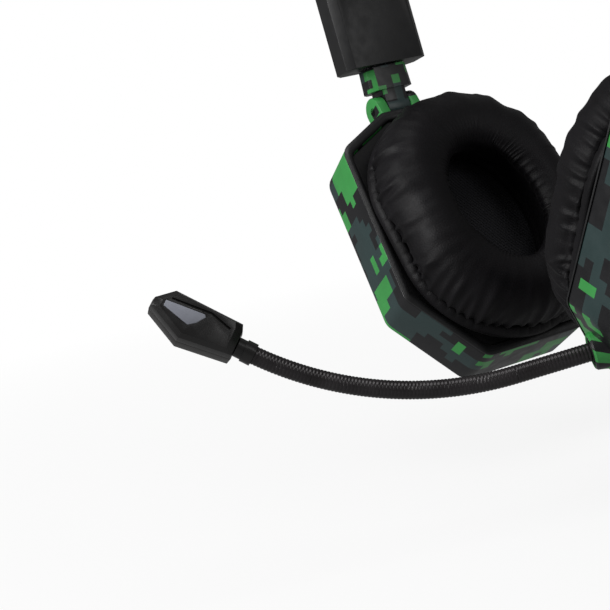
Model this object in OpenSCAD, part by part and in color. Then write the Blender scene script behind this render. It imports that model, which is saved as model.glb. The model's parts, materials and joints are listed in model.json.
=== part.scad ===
// Over-ear gaming headset with a camouflage pattern on its plastic.
// +X is towards the wearer's left ear, -Y is the way the wearer faces, +Z is up.
// The origin is where the headband pad rests on the top of the head.
// The right side is drawn, and the left side is its mirror image with the microphone added.

/* [Ear cups] */
// Inward lean of each ear cup with nobody wearing the headset, in degrees
cup_tilt = 30; // [24:36]
// Half of the distance between the two cushion seats
cup_half_span = 49.6; // [48:60]
// Half width of the cup rim at its widest corner
cup_side = 37.4; // [34:42]
// How far the widest corner lies below the middle of the cup
cup_side_drop = 19; // [12:24]
// Half width of the flat bottom edge of the rim
cup_foot = 19.6; // [14:24]
// Depth of the rim below the middle of the cup
cup_low = 45.8; // [42:50]
// Half width of the rim at its upper corner
cup_shoulder = 32.8; // [28:36]
// Height of the upper corner above the middle
cup_shoulder_rise = 38.9; // [32:42]
// Half width of the flat top edge of the rim
cup_top = 12; // [11:16]
// Height of the top edge above the middle
cup_high = 49.5; // [46:54]
// Depth of the side wall from the rim to the bevel
wall_depth = 19.5; // [14:24]
// Depth of the outer bevel
bevel_depth = 9; // [5:12]

/* [Ear cushions] */
// Outer radius at the rounded ends of the cushion
pad_radius = 34.2; // [32:40]
// Length of the straight sides of the cushion
pad_straight = 20.8; // [10:26]
// Height of the cushion above the cup
pad_height = 23; // [16:26]
// Width of the cushion roll
pad_roll = 19; // [15:22]

/* [Headband] */
// Height of the centres of the two shoulder arcs above the ears
arch_centre = 96; // [90:104]
// How much larger the radius of the top arc is than that of the shoulder arcs
arch_flat = 90; // [80:100]
// Inward lean of the slider arms, in degrees
arm_lean = 8; // [4:12]
// Width of the headband covers
band_width = 28; // [24:34]
// Thickness of the head pad
head_pad = 12; // [8:16]
// Half angle of the head pad along the top arc
head_pad_span = 33; // [26:38]
// Width of the head pad
head_pad_width = 34; // [30:40]

/* [Sliders] */
// Width of the steel strip
strip_width = 14; // [10:18]
// Thickness of the steel strip
strip_thick = 1.4; // [1:2]

/* [Microphone] */
// Radius of the gooseneck
neck_r = 2.6; // [2:2.9]
// Length of the straight gooseneck piece out of the cup
neck_first = 23; // [15:30]
// Length of each bent gooseneck piece
neck_piece = 19; // [14:22]
// Turn of each bent gooseneck piece, in degrees
neck_turn = 11; // [0:15]
// Heading of the boom from straight ahead towards the mouth, in degrees
boom_heading = 28; // [10:35]
// Downward slope of the boom where it leaves the cup, in degrees
boom_drop = 5; // [0:20]
// Length of the microphone housing
mic_length = 26.2; // [20:32]
// Width of the microphone housing
mic_width = 12.8; // [10:15]
// Height of the microphone cover over its parting line
mic_cover_high = 4.4; // [3.5:6]
// Depth of the microphone base under the parting line
mic_base_deep = 6.6; // [4:8]
// Roll of the microphone housing about its length, in degrees
mic_roll = 30; // [0:60]

/* [Hidden] */
$fn = 48;
rim_x = -2;
waist_x = rim_x - wall_depth;
face_x = waist_x - bevel_depth;
k_waist = 0.975;
k_face = 0.80;
hinge_x = -11;
hinge_z = 56;
ear_out = 8.5;
ear_thick = 3.8;
knuckle = ear_out - ear_thick - 0.3;
hinge_wx = -cup_half_span + hinge_x * cos(cup_tilt) - hinge_z * sin(cup_tilt);
hinge_wz = hinge_x * sin(cup_tilt) + hinge_z * cos(cup_tilt);
arch_turn = atan2(4, 3);
arch_reach = 0.6 * arch_flat;
function thou(v) = round(v * 1000) / 1000;
side_run = (-hinge_wx - arch_reach) * cos(arm_lean) + (arch_centre - hinge_wz) * sin(arm_lean);
r_side = thou(side_run);
r_top = r_side + arch_flat;
top_z = arch_centre - 0.8 * arch_flat;
apex = top_z + r_top;
band_end = thou((arch_centre - r_side * sin(arm_lean) - hinge_wz) / cos(arm_lean));
band_tail = 6.5;
band_out = 4.2;
band_in = 3.8;
groove = 0.45;
pad_seat = apex - band_in;
origin_z = thou(pad_seat - head_pad);
arm_top = 15;
sleeve_low = arm_top + 0.4;
strip_low = 7.5;
strip_high = arm_top + 25;

// Boom path: start point, then the ends of its pieces, all in one upright plane.
boom_ahead = [-sin(boom_heading), -cos(boom_heading), 0];
boom_side = [-cos(boom_heading), sin(boom_heading), 0];
boom_start = [40.4, -29.3, -32.7];
arc_r = neck_piece / (neck_turn * PI / 180);
collar_ease = 0.1;
function slope(i) = -boom_drop + neck_turn * i;
function ray(a) = boom_ahead * cos(a) + [0, 0, sin(a)];
function arc_step(i) = arc_r * (ahead_part(i) + [0, 0, cos(slope(i - 1)) - cos(slope(i))]);
function ahead_part(i) = boom_ahead * (sin(slope(i)) - sin(slope(i - 1)));
function knot(i) = i == 0 ? boom_start + ray(-boom_drop) * neck_first : knot(i - 1) + arc_step(i);
mic_dir = ray(slope(4));
mic_up = -boom_ahead * sin(slope(4)) + [0, 0, cos(slope(4))];
mic_face = -boom_side * cos(mic_roll) + mic_up * sin(mic_roll);

// Places what is drawn about the ears so that the origin is under the head pad.
module worn() {
  translate([0, 0, -origin_z]) children();
}

// Right side as drawn, left side mirrored.
module on_side(left) {
  if (left) {
    mirror([1, 0, 0]) children();
  } else {
    children();
  }
}

// Cup frame: x towards the ear, y back, z up the cup.
module in_cup(left) {
  worn() on_side(left) translate([-cup_half_span, 0, 0]) rotate([0, -cup_tilt, 0]) children();
}

// Arm frame: origin on the hinge axis, z up the slider, x inward.
module in_arm(left) {
  worn() on_side(left) translate([-arch_reach, 0, arch_centre]) rotate([0, -arm_lean, 0])
    translate([-r_side, 0, -band_end]) children();
}

// Turns a flat drawing in y and z into one that is extruded along x.
module across() {
  rotate([90, 0, 90]) children();
}

module frame_at(o, ex, ez) {
  ey = cross(ez, ex);
  multmatrix([[ex[0], ey[0], ez[0], o[0]],
    [ex[1], ey[1], ez[1], o[1]],
    [ex[2], ey[2], ez[2], o[2]],
    [0, 0, 0, 1]]) children();
}

module rim_shape(k) {
  scale([k, k]) polygon([[cup_foot, -cup_low], [cup_side, -cup_side_drop],
    [cup_shoulder, cup_shoulder_rise], [cup_top, cup_high],
    [-cup_top, cup_high], [-cup_shoulder, cup_shoulder_rise],
    [-cup_side, -cup_side_drop], [-cup_foot, -cup_low]]);
}

// Tapered prism of the rim shape from x0 to x1.
module taper(x0, k0, x1, k1) {
  across() translate([0, 0, x0]) linear_extrude(height = x1 - x0, scale = k1 / k0) rim_shape(k0);
}

module plate(x0, x1, k) {
  across() translate([0, 0, x0]) linear_extrude(height = x1 - x0) rim_shape(k);
}

module oval(r) {
  union() {
    translate([0, pad_straight / 2]) circle(r = r);
    translate([0, -pad_straight / 2]) circle(r = r);
    square([2 * r, pad_straight], center = true);
  }
}

module oval_plate(x0, x1, r_out, r_in) {
  across() translate([0, 0, x0]) linear_extrude(height = x1 - x0) difference() {
    oval(r_out);
    oval(r_in);
  }
}

// Runs a profile of radius and height round the oval of the cushion.
module oval_run() {
  across() union() {
    translate([0, pad_straight / 2, 0]) rotate_extrude(angle = 180) children();
    translate([0, -pad_straight / 2, 0]) rotate([0, 0, 180]) rotate_extrude(angle = 180) children();
    translate([0, pad_straight / 2, 0]) rotate([90, 0, 0]) linear_extrude(height = pad_straight)
      children();
    translate([0, -pad_straight / 2, 0]) rotate([0, 0, 180]) rotate([90, 0, 0])
      linear_extrude(height = pad_straight) children();
  }
}

boss_spots = [[24, -19], [-24, -19], [21, 30], [-21, 30]];

module hinge_ears() {
  for (y = [-ear_out, ear_out - ear_thick]) {
    translate([hinge_x, y + ear_thick, hinge_z]) rotate([90, 0, 0]) cylinder(r = 5, h = ear_thick);
    translate([hinge_x - 5, y, 46.6]) cube([10, ear_thick, hinge_z - 46.6]);
  }
}

module shell_body() {
  union() {
    difference() {
      union() {
        taper(waist_x, k_waist, rim_x, 1);
        taper(face_x, k_face, waist_x, k_waist);
      }
      taper(waist_x, 0.90, rim_x + 0.01, 0.93);
      taper(face_x + 2, 0.74, waist_x + 0.01, 0.90);
      plate(face_x - 1, face_x + 3, 0.66);
    }
    for (p = boss_spots) {
      translate([face_x + 1.5, p[0], p[1]]) rotate([0, 90, 0])
        cylinder(r = 2.6, h = -6.1 - face_x);
    }
    hinge_ears();
  }
}

module shell_holes() {
  translate([hinge_x, ear_out + 1, hinge_z]) rotate([90, 0, 0])
    cylinder(r = 1.5, h = 2 * ear_out + 2);
  for (p = boss_spots) {
    translate([-15, p[0], p[1]]) rotate([0, 90, 0]) cylinder(r = 1.1, h = 12);
  }
}

module shell_r() {
  color([0.16, 0.45, 0.26]) in_cup(false) difference() {
    shell_body();
    shell_holes();
  }
}

// Boom frame: origin where the boom leaves the cup, z along its first piece.
module in_boom() {
  worn() frame_at(boom_start, boom_side, ray(-boom_drop)) children();
}

module cord_hole(r) {
  translate([-11, 6, -40]) rotate([0, 180, 0]) cylinder(r = r, h = 12);
}

module shell_l() {
  color([0.16, 0.45, 0.26]) difference() {
    union() {
      in_cup(true) shell_body();
      in_boom() translate([0, 0, -7]) cylinder(r = 5.2, h = 9);
    }
    in_cup(true) shell_holes();
    in_cup(true) cord_hole(3.4);
    in_boom() translate([0, 0, -7.01]) cylinder(r = 3.9, h = 9.1);
  }
}

// Outer face plate with a raised six-sided panel.
module face_plate(left) {
  color([0.10, 0.11, 0.12]) in_cup(left) union() {
    taper(face_x - 2.2, 0.70, face_x, 0.78);
    plate(face_x, face_x + 2, 0.655);
    across() translate([0, 0, face_x - 3.4]) linear_extrude(height = 1.3, scale = 1.08)
      polygon([[0, 26], [15, 17], [17, -10], [0, -24], [-17, -10], [-15, 17]]);
  }
}

module face_plate_r() {
  face_plate(false);
}

module face_plate_l() {
  face_plate(true);
}

module rim_lip(left) {
  color([0.05, 0.05, 0.055]) in_cup(left) difference() {
    plate(rim_x, rim_x + 1, 1);
    plate(rim_x - 1, rim_x + 2, 0.93);
  }
}

module rim_lip_r() {
  rim_lip(false);
}

module rim_lip_l() {
  rim_lip(true);
}

module hinge_pin(left) {
  color([0.72, 0.72, 0.74]) in_cup(left) translate([hinge_x, ear_out, hinge_z]) rotate([90, 0, 0])
    union() {
      cylinder(r = 1.5, h = 2 * ear_out);
      translate([0, 0, -0.9]) cylinder(r = 2.6, h = 0.9);
    }
}

module hinge_pin_r() {
  hinge_pin(false);
}

module hinge_pin_l() {
  hinge_pin(true);
}

// Flat front of the cup that carries the speaker.
module baffle(left) {
  color([0.05, 0.05, 0.055]) in_cup(left) difference() {
    plate(-4.6, -2.2, 0.922);
    translate([-5, 0, 0]) rotate([0, 90, 0]) cylinder(r = 20.2, h = 4);
    for (p = boss_spots) {
      translate([-5, p[0], p[1]]) rotate([0, 90, 0]) cylinder(r = 1.1, h = 4);
      translate([-3.4, p[0], p[1]]) rotate([0, 90, 0]) cylinder(r = 2.1, h = 2);
    }
    for (s = [-1, 1]) {
      translate([-5, 0, s * 27]) rotate([0, 90, 0]) cylinder(r = 2, h = 4);
    }
  }
}

module baffle_r() {
  baffle(false);
}

module baffle_l() {
  baffle(true);
}

module baffle_screws(left) {
  color([0.55, 0.55, 0.57]) in_cup(left) for (p = boss_spots) {
    translate([-13, p[0], p[1]]) rotate([0, 90, 0]) cylinder(r = 1.1, h = 9.7);
    translate([-3.4, p[0], p[1]]) rotate([0, 90, 0]) cylinder(r = 2.1, h = 1.1);
  }
}

module baffle_screws_r() {
  baffle_screws(false);
}

module baffle_screws_l() {
  baffle_screws(true);
}

module turned(left) {
  in_cup(left) across() rotate_extrude() children();
}

module speaker_frame(left) {
  color([0.12, 0.12, 0.13]) turned(left) polygon([[18.6, -2.4], [20, -2.4], [20, -4.6],
    [22.5, -4.6], [22.5, -6.4], [19, -6.4], [12, -11], [9.2, -11], [9.2, -9.6], [18.6, -5.6]]);
}

module speaker_frame_r() {
  speaker_frame(false);
}

module speaker_frame_l() {
  speaker_frame(true);
}

module speaker_magnet(left) {
  color([0.62, 0.62, 0.64]) turned(left) polygon([[0, -16], [13, -16], [13, -11], [9.2, -11],
    [9.2, -9.6], [7.4, -9.6], [7.4, -14], [5.6, -14], [5.6, -8.6], [0, -8.6]]);
}

module speaker_magnet_r() {
  speaker_magnet(false);
}

module speaker_magnet_l() {
  speaker_magnet(true);
}

// Dome, surround and voice coil in one moulding.
module speaker_cone(left) {
  color([0.35, 0.33, 0.28]) turned(left) polygon([[0, -3.2], [3, -3.5], [5, -4.2], [6.3, -5.4],
    [8, -4.6], [12, -3.5], [15, -3.3], [17, -3.7], [18.6, -4.4], [18.6, -4.9], [17, -4.2],
    [15, -3.8], [12, -4], [8, -5.1], [6.8, -5.8], [6.8, -12.5], [6.3, -12.5], [6.2, -6],
    [5, -4.7], [3, -4], [0, -3.7]]);
}

module speaker_cone_r() {
  speaker_cone(false);
}

module speaker_cone_l() {
  speaker_cone(true);
}

module pad_plate(left) {
  color([0.06, 0.06, 0.065]) in_cup(left) oval_plate(-2.2, 0, pad_radius - 3.8,
    pad_radius - pad_roll + 2);
}

module pad_plate_r() {
  pad_plate(false);
}

module pad_plate_l() {
  pad_plate(true);
}

// Knitted cloth across the ear hole.
module ear_cloth(left) {
  color([0.03, 0.03, 0.035]) in_cup(left) across() linear_extrude(height = 0.6)
    oval(pad_radius - 6.4);
}

module ear_cloth_r() {
  ear_cloth(false);
}

module ear_cloth_l() {
  ear_cloth(true);
}

// Stretched skirt that holds the cushion on its plate.
module cushion_skirt(left) {
  color([0.045, 0.045, 0.05]) in_cup(left) oval_plate(0, 2.4, pad_radius,
    pad_radius - 6.3);
}

module cushion_skirt_r() {
  cushion_skirt(false);
}

module cushion_skirt_l() {
  cushion_skirt(true);
}

roll_mid = pad_radius - pad_roll / 2;
roll_rise = (pad_height - 2.4) / 2;
function pw(v, e) = sign(v) * pow(abs(v), e);
function roll_pt(a) = [roll_mid + pad_roll / 2 * pw(cos(a), 0.85),
  2.4 + roll_rise + roll_rise * pw(sin(a), 0.85)];

// Round roll of padding that the ear sits inside.
module cushion(left) {
  color([0.045, 0.045, 0.05]) in_cup(left) oval_run() polygon(concat(
    [for (a = [-40:20:220]) roll_pt(a)], [[pad_radius - 17, 0.6],
      [pad_radius - 6.4, 0.6], [pad_radius - 6.4, 2.4], [pad_radius - 2.6, 2.4]]));
}

module cushion_r() {
  cushion(false);
}

module cushion_l() {
  cushion(true);
}

// Runs profiles of outward offset and width along the headband: top arc, shoulder arcs, ends.
// Each is a little slimmer than the one before and starts inside it.
module band_run() {
  lap = 1.4;
  worn() union() {
    translate([0, 0, top_z]) rotate([90, 0, 0]) rotate([0, 0, arch_turn])
      rotate_extrude(angle = 180 - 2 * arch_turn, $fn = 128) translate([r_top, 0]) children(0);
    for (s = [0, 1]) {
      on_side(s == 0) translate([-arch_reach, 0, arch_centre]) rotate([90, 0, 0])
        rotate([0, 0, 180 - arch_turn - lap])
          rotate_extrude(angle = arch_turn + lap + arm_lean, $fn = 96)
            translate([r_side, 0]) children(1);
      on_side(s == 0) translate([-arch_reach, 0, arch_centre]) rotate([0, -arm_lean, 0])
        translate([-r_side, 0, -band_tail]) linear_extrude(height = band_tail + 1)
          mirror([1, 0]) children(2);
    }
  }
}

module cover_shape(e) {
  w = band_width / 2 - e;
  polygon([[e, -w], [2.6, -w], [band_out - e, 2.6 - w], [band_out - e, w - 2.6], [2.6, w], [e, w],
    [e, 7.1 + e], [groove + e, 7.1 + e], [groove + e, -7.1 - e], [e, -7.1 - e]]);
}

module liner_shape(e) {
  w = band_width / 2 - e;
  polygon([[-e, -w], [-e, -7.1 - e], [-groove - e, -7.1 - e], [-groove - e, 7.1 + e],
    [-e, 7.1 + e], [-e, w], [-2.4, w], [e - band_in, w - 2], [e - band_in, 2 - w], [-2.4, -w]]);
}

module tail_bores(r) {
  for (s = [0, 1]) {
    for (t = [-1, 1]) {
      in_arm(s == 0) translate([-8, t * 10, band_end - 3.2]) rotate([0, 90, 0])
        cylinder(r = r, h = 16);
    }
  }
}

module band_spring() {
  color([0.70, 0.71, 0.73]) band_run() {
    square([2 * groove, 14], center = true);
    square([2 * groove - 0.2, 13.8], center = true);
    square([2 * groove - 0.4, 13.6], center = true);
  }
}

module band_cover() {
  color([0.16, 0.45, 0.26]) difference() {
    band_run() {
      cover_shape(0);
      cover_shape(0.15);
      cover_shape(0.3);
    }
    tail_bores(1.1);
  }
}

module band_liner() {
  color([0.06, 0.06, 0.065]) difference() {
    band_run() {
      liner_shape(0);
      liner_shape(0.15);
      liner_shape(0.3);
    }
    tail_bores(1.1);
  }
}

head_mid = band_in + head_pad / 2;
function pad_pt(a) = [-head_mid + head_pad / 2 * pw(cos(a), 0.7), head_pad_width / 2 * pw(sin(a), 0.7)];

module head_pad_cushion() {
  color([0.045, 0.045, 0.05]) worn() translate([0, 0, top_z]) rotate([90, 0, 0])
    rotate([0, 0, 90 - head_pad_span]) rotate_extrude(angle = 2 * head_pad_span, $fn = 128)
      translate([r_top, 0]) polygon([for (a = [0:15:345]) pad_pt(a)]);
}

module band_screws() {
  color([0.55, 0.55, 0.57]) for (s = [0, 1]) {
    for (t = [-1, 1]) {
      in_arm(s == 0) translate([-3.4, t * 10, band_end - 3.2]) rotate([0, 90, 0]) union() {
        cylinder(r = 1.1, h = 8.4);
        translate([0, 0, 8.4]) cylinder(r = 2.2, h = 1.4);
      }
    }
  }
}

module chamfered(hx, hy, c) {
  polygon([[hx, hy - c], [hx - c, hy], [c - hx, hy], [-hx, hy - c], [-hx, c - hy], [c - hx, -hy],
    [hx - c, -hy], [hx, c - hy]]);
}

// Sleeve at the end of the headband that the steel strip slides in.
module sleeve(left) {
  w = band_width / 2;
  color([0.05, 0.05, 0.055]) in_arm(left) difference() {
    translate([0, 0, sleeve_low]) linear_extrude(height = band_end - sleeve_low)
      chamfered(6.4, w + 2.4, 2.6);
    translate([0, 0, band_end - band_tail]) linear_extrude(height = band_tail + 1) mirror([1, 0])
      polygon([[2.6, 0.3 - w], [band_out - 0.3, 2.9 - w], [band_out - 0.3, w - 2.9], [2.6, w - 0.3],
        [-2.4, w - 0.3], [0.3 - band_in, w - 2.3], [0.3 - band_in, 2.3 - w], [-2.4, 0.3 - w]]);
    translate([-strip_thick / 2 - 0.35, -strip_width / 2 - 0.35, sleeve_low - 1])
      cube([strip_thick + 0.7, strip_width + 0.7, band_end - band_tail - sleeve_low + 0.4]);
    translate([1, -3.2, 24]) cube([1.6, 6.4, 12]);
    for (t = [-1, 1]) {
      translate([3, t * 10, band_end - 3.2]) rotate([0, 90, 0]) cylinder(r = 1.1, h = 4);
      translate([5, t * 10, band_end - 3.2]) rotate([0, 90, 0]) cylinder(r = 2.2, h = 4);
    }
  }
}

module sleeve_r() {
  sleeve(false);
}

module sleeve_l() {
  sleeve(true);
}

// Leaf spring with a bump that clicks into the holes of the strip.
module detent(left) {
  color([0.72, 0.72, 0.74]) in_arm(left) union() {
    translate([2.1, -3, 24]) cube([0.5, 6, 12]);
    translate([1.9, 3, 30]) rotate([90, 0, 0]) cylinder(r = 0.7, h = 6);
  }
}

module detent_r() {
  detent(false);
}

module detent_l() {
  detent(true);
}

module strip_solid() {
  translate([-strip_thick / 2, -strip_width / 2, strip_low])
    cube([strip_thick, strip_width, strip_high - strip_low]);
}

module strip(left) {
  color([0.70, 0.71, 0.73]) in_arm(left) difference() {
    strip_solid();
    for (i = [0:4]) {
      translate([-2, 0, 19 + 4 * i]) rotate([0, 90, 0]) cylinder(r = 0.9, h = 4);
    }
    for (t = [-1, 1]) {
      translate([-2, t * 4.5, 11]) rotate([0, 90, 0]) cylinder(r = 1.2, h = 4);
    }
  }
}

module strip_r() {
  strip(false);
}

module strip_l() {
  strip(true);
}

// Faceted arm: hinge knuckle below, pocket for the steel strip above.
module arm(left) {
  color([0.14, 0.36, 0.24]) in_arm(left) difference() {
    union() {
      translate([0, knuckle, 0]) rotate([90, 0, 0]) cylinder(r = 5, h = 2 * knuckle);
      translate([-4.4, -knuckle, 0]) cube([8.8, 2 * knuckle, 7]);
      translate([0, 0, 6.6]) linear_extrude(height = arm_top - 6.6, scale = 0.96)
        chamfered(4.8, 8.6, 2.2);
    }
    translate([0, knuckle + 1, 0]) rotate([90, 0, 0]) cylinder(r = 1.55, h = 2 * knuckle + 2);
    strip_solid();
    for (t = [-1, 1]) {
      translate([-4, t * 4.5, 11]) rotate([0, 90, 0]) cylinder(r = 1.2, h = 8);
    }
  }
}

module arm_r() {
  arm(false);
}

module arm_l() {
  arm(true);
}

module arm_rivets(left) {
  color([0.62, 0.62, 0.64]) in_arm(left) for (t = [-1, 1]) {
    translate([-4, t * 4.5, 11]) rotate([0, 90, 0]) cylinder(r = 1.2, h = 8);
  }
}

module arm_rivets_r() {
  arm_rivets(false);
}

module arm_rivets_l() {
  arm_rivets(true);
}

// Small circuit board where the cord, the speakers and the microphone meet.
module junction_board() {
  color([0.08, 0.30, 0.14]) in_cup(true) translate([face_x + 2, -10, -14]) cube([1.2, 20, 16]);
}

// Rubber sleeve where the cord leaves the left cup.
module cord_gland() {
  color([0.04, 0.04, 0.045]) in_cup(true) translate([-11, 6, -41]) rotate([0, 180, 0])
    difference() {
      union() {
        cylinder(r = 3.4, h = 5);
        translate([0, 0, 4.6]) cylinder(r1 = 4.4, r2 = 3.1, h = 7);
      }
      translate([0, 0, -1]) cylinder(r = 1.6, h = 14);
    }
}

module boom_grommet() {
  color([0.04, 0.04, 0.045]) in_boom() difference() {
    translate([0, 0, -6.5]) cylinder(r = 3.9, h = 8.1);
    translate([0, 0, -7]) cylinder(r = neck_r, h = 10);
    translate([0, 0, -0.6]) cylinder(r1 = neck_r, r2 = neck_r + 0.7, h = 2.3);
  }
}

// Frame on the gooseneck: z along it, x to the side of its upright plane.
module on_neck(o, a) {
  worn() frame_at(o, boom_side, ray(a)) children();
}

// Ball on a short stem at the end of one piece.
module neck_ball() {
  union() {
    sphere(r = 1.35, $fn = 32);
    translate([0, 0, -2.4]) cylinder(r = 0.75, h = 2.4);
  }
}

// Room for the ball inside the next piece.
module neck_cup() {
  union() {
    sphere(r = 1.45, $fn = 32);
    translate([0, 0, -2.6]) cylinder(r1 = 1.7, r2 = 0.9, h = 2.4);
  }
}

// Bent piece of gooseneck from one joint to the next, less the gap at its far end.
module bent_piece(i, cut_end) {
  worn() frame_at(knot(i - 1), boom_side, ray(slope(i - 1))) translate([0, -arc_r, 0])
    rotate([90, 0, 90]) rotate_extrude(angle = neck_turn - cut_end, $fn = 64)
      translate([arc_r, 0]) circle(r = neck_r, $fn = 32);
}

gap_turn = 1.8 * 180 / (PI * arc_r);

module neck_1() {
  color([0.035, 0.035, 0.04]) union() {
    in_boom() translate([0, 0, -6.5]) cylinder(r = neck_r, h = 6.5 + neck_first - 1.8);
    on_neck(knot(0), slope(0)) neck_ball();
  }
}

module neck_link(i) {
  color([0.035, 0.035, 0.04]) difference() {
    union() {
      bent_piece(i, gap_turn);
      on_neck(knot(i - 1), slope(i - 1)) translate([0, 0, -1.2]) cylinder(r = neck_r, h = 1.2);
      on_neck(knot(i), slope(i)) neck_ball();
    }
    on_neck(knot(i - 1), slope(i - 1)) neck_cup();
  }
}

module neck_2() {
  neck_link(1);
}

module neck_3() {
  neck_link(2);
}

module neck_4() {
  neck_link(3);
}

module neck_5() {
  color([0.035, 0.035, 0.04]) difference() {
    union() {
      bent_piece(4, 0);
      on_neck(knot(3), slope(3)) translate([0, 0, -1.2]) cylinder(r = neck_r, h = 1.2);
    }
    on_neck(knot(3), slope(3)) neck_cup();
  }
}

// Microphone frame: x along the housing from the end of the gooseneck, z out of its top panel.
module in_mic() {
  worn() frame_at(knot(4), mic_dir, mic_face) children();
}

module mic_collar() {
  color([0.03, 0.03, 0.035]) in_mic() rotate([0, 90, 0]) difference() {
    union() {
      translate([0, 0, -2.2]) cylinder(r = neck_r + 0.6, h = 3);
      cylinder(r = neck_r + 0.2, h = 3);
    }
    translate([0, 0, -3]) cylinder(r = neck_r + collar_ease, h = 3);
  }
}

module mic_plan() {
  w = mic_width / 2;
  translate([-mic_length / 2, 0]) polygon([[0, 4.1], [0.59 * mic_length, w], [mic_length, 1.2],
    [mic_length, -1.4], [0.83 * mic_length, -0.92 * w], [0.03 * mic_length, -0.9 * w], [0, -3.8]]);
}

// Slice of the housing from z0 to z1 that tapers from scale k0 to scale k1.
module mic_slice(z0, k0, z1, k1) {
  translate([3 + mic_length / 2, 0, z0]) linear_extrude(height = z1 - z0, scale = k1 / k0)
    scale([k0, k0]) mic_plan();
}

module mic_base() {
  t = mic_base_deep;
  color([0.07, 0.065, 0.065]) in_mic() difference() {
    union() {
      mic_slice(-t, 0.80, 1.8 - t, 0.98);
      mic_slice(1.8 - t, 0.98, -0.25, 1);
      mic_slice(-0.25, 0.95, 0, 0.95);
    }
    mic_slice(1.3 - t, 0.74, 0.1, 0.80);
  }
}

module window_shape() {
  polygon([[22.8, -1.5], [11.7, -2.7], [11, -2], [12.7, 0.7], [14.6, 2.3], [22.8, 0.3]]);
}

module mic_cover() {
  t = mic_cover_high;
  color([0.05, 0.05, 0.055]) in_mic() difference() {
    union() {
      mic_slice(0, 1, t - 1.5, 0.97);
      mic_slice(t - 1.5, 0.97, t, 0.80);
    }
    mic_slice(-0.1, 0.78, t - 1.4, 0.72);
    translate([3, 0, t - 0.7]) linear_extrude(height = 1) window_shape();
    translate([3, 0, t - 0.8]) linear_extrude(height = 1)
      polygon([[21.6, -2.9], [10, -4.1], [3.6, -2.4], [3.9, -1.8], [10, -3.4], [21.6, -2.2]]);
    for (i = [0:2]) {
      translate([12.5 + 3 * i, -3.5 + 0.25 * i, 0]) cylinder(r = 0.25, h = 6, $fn = 16);
    }
  }
}

module mic_window() {
  color([0.62, 0.63, 0.70]) in_mic() translate([3, 0, mic_cover_high - 0.7])
    linear_extrude(height = 0.75) window_shape();
}

module mic_capsule() {
  color([0.66, 0.66, 0.68]) in_mic() translate([16, 0, 1.3 - mic_base_deep])
    cylinder(r = 3, h = 2.6);
}

band_spring();
band_cover();
band_liner();
head_pad_cushion();
band_screws();
sleeve_r();
sleeve_l();
detent_r();
detent_l();
strip_r();
strip_l();
arm_r();
arm_l();
arm_rivets_r();
arm_rivets_l();
shell_r();
shell_l();
face_plate_r();
face_plate_l();
rim_lip_r();
rim_lip_l();
hinge_pin_r();
hinge_pin_l();
baffle_r();
baffle_l();
baffle_screws_r();
baffle_screws_l();
speaker_frame_r();
speaker_frame_l();
speaker_magnet_r();
speaker_magnet_l();
speaker_cone_r();
speaker_cone_l();
pad_plate_r();
pad_plate_l();
ear_cloth_r();
ear_cloth_l();
cushion_skirt_r();
cushion_skirt_l();
cushion_r();
cushion_l();
junction_board();
cord_gland();
boom_grommet();
neck_1();
neck_2();
neck_3();
neck_4();
neck_5();
mic_collar();
mic_base();
mic_cover();
mic_window();
mic_capsule();
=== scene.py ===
import json
import math

import bmesh
import bpy
from mathutils import Matrix, Vector, noise


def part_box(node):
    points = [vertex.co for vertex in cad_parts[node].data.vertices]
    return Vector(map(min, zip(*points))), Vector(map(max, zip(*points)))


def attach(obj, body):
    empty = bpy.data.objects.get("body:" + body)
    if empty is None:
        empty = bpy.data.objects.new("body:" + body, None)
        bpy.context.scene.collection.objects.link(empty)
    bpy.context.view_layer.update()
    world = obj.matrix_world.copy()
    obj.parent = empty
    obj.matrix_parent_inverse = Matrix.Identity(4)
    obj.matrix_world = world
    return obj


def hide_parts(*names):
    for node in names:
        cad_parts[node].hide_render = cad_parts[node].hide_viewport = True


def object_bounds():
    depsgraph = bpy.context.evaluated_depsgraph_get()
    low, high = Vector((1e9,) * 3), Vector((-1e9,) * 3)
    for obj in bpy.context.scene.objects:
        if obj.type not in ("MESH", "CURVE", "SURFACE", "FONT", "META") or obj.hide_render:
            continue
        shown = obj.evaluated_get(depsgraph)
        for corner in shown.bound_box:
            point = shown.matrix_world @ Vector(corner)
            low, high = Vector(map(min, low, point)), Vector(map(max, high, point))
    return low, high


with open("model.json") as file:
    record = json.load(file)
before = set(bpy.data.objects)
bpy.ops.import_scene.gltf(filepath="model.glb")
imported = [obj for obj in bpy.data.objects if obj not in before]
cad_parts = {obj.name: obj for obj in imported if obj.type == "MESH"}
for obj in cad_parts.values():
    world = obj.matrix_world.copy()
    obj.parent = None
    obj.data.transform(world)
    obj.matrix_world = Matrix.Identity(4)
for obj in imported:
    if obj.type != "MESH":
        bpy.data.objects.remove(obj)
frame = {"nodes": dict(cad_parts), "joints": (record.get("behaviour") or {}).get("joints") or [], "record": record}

# Lengths are in millimetres and the cup frame is x towards the ear, y back, z up the cup.
MM = 0.001
CAD_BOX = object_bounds()
SIDES = ("r", "l")

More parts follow.
